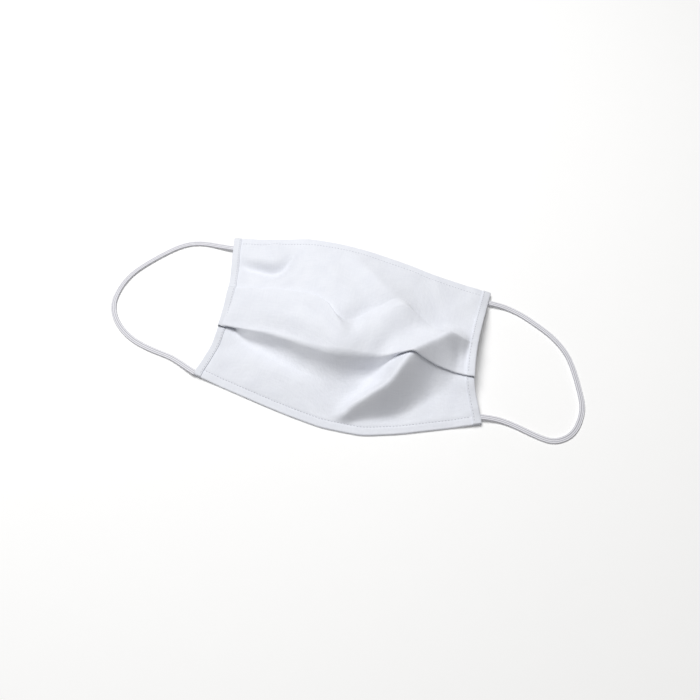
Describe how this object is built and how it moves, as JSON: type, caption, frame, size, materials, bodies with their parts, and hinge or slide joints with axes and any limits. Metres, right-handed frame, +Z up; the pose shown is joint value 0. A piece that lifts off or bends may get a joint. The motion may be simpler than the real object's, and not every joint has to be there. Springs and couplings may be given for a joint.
{
  "type": "pleated cloth face mask",
  "caption": "Pleated cotton face mask with a box pleat opened into a dome, hemmed edges, side strips and flat elastic ear loops, lying face up.",
  "frame": {"origin": "on the surface that the mask lies on, under the middle of the sewn part's box, without the ear loops", "axes": "+Z up through the dome, +X along the mask towards the wearer's left when worn, +Y towards the nose edge"},
  "size_m": [0.3737, 0.1568, 0.036],
  "materials": {
    "cotton": "plain woven cotton, slightly blue white, matt",
    "elastic": "white knitted elastic with lengthwise ribs"
  },
  "bodies": {
    "root": {"pleated_cloth": "cotton", "side_strip_left": "cotton", "side_strip_right": "cotton", "ear_loop_left": "elastic", "ear_loop_right": "elastic"}
  },
  "joints": []
}
